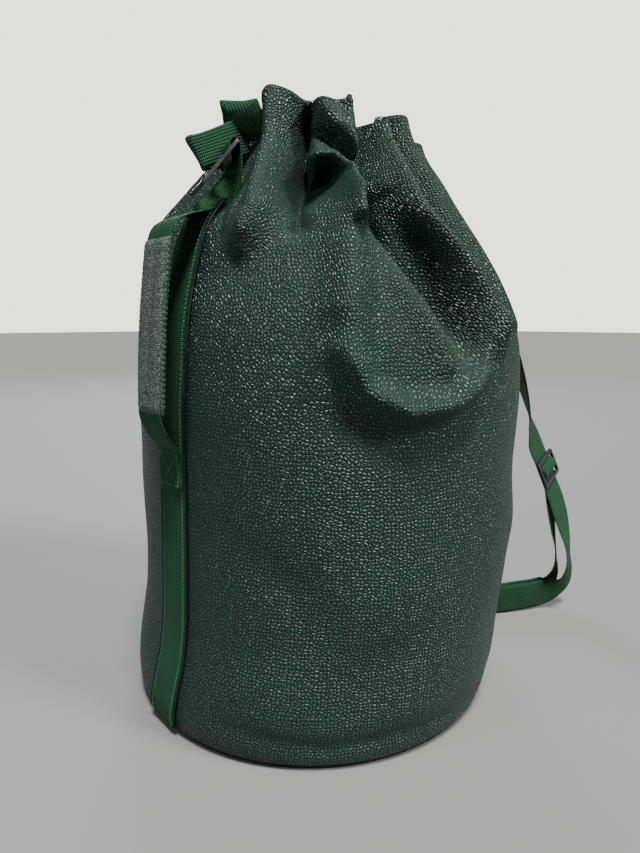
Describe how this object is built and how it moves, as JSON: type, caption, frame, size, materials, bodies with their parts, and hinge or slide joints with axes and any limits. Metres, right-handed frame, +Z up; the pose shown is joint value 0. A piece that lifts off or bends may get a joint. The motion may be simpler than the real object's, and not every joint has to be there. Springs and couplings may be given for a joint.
{
  "type": "ski boot bag",
  "caption": "Tall leather drawstring duffel on a round base, with a side carry handle, webbing seams and an adjustable shoulder strap.",
  "frame": {"origin": "middle of the round base, on the surface the bag stands on", "axes": "+Z up along the bag, front panel faces -Y, carry handle seam on -X, shoulder strap seam on +X"},
  "size_m": [0.5223, 0.4059, 0.585],
  "materials": {
    "leather": "pebbled, semi-gloss",
    "webbing": "woven, matt",
    "black_plastic": "fine matt",
    "board": "plain board",
    "black_binding": "woven tape"
  },
  "bodies": {
    "bag": {"front_panel": "leather", "back_panel": "leather", "front_hem": "leather", "back_hem": "leather", "base_panel": "leather", "base_board": "board", "base_welt": "black_binding", "mouth_drawstring": "webbing", "handle_side_webbing": "webbing", "strap_side_webbing": "webbing", "handle_side_seam_tape": "black_binding", "strap_side_seam_tape": "black_binding", "handle_lower_end": "webbing", "handle_upper_end": "webbing", "slide_tab": "webbing", "strap_base_tab": "webbing", "strap_top_end": "webbing"},
    "handle": {"handle_webbing": "webbing", "handle_grip": "leather"},
    "closure_slide": {"closure_slide": "black_plastic"},
    "drawstring_pull": {"drawstring_upper_loop": "webbing", "drawstring_lower_loop": "webbing"},
    "shoulder_strap": {"strap_webbing": "webbing", "strap_return_run": "webbing", "strap_ring": "black_plastic"},
    "strap_adjuster": {"tri_glide": "black_plastic", "strap_end_loop": "webbing"}
  },
  "joints": [
    {"name": "handle_swing", "type": "hinge", "parent": "bag", "child": "handle", "pos_m": [-0.1925, 0, 0.276], "axis": [0.1544, 0, 0.988], "range_deg": [-32, 32]},
    {"name": "closure_slide_pivot", "type": "hinge", "parent": "bag", "child": "closure_slide", "pos_m": [-0.119, -0.014, 0.512], "axis": [0.342, 0.9397, 0], "range_deg": [-8, 15]},
    {"name": "drawstring_pull", "type": "slide", "parent": "bag", "child": "drawstring_pull", "axis": [-1, 0, 0], "range_m": [0, 0.03]},
    {"name": "strap_swing", "type": "hinge", "parent": "bag", "child": "shoulder_strap", "pos_m": [0.203, 0, 0.023], "axis": [-0.1746, 0, 0.9846], "range_deg": [0, 110]},
    {"name": "adjuster_slide", "type": "slide", "parent": "shoulder_strap", "child": "strap_adjuster", "axis": [-0.3327, 0.2404, 0.9119], "range_m": [-0.03, 0.03]}
  ]
}
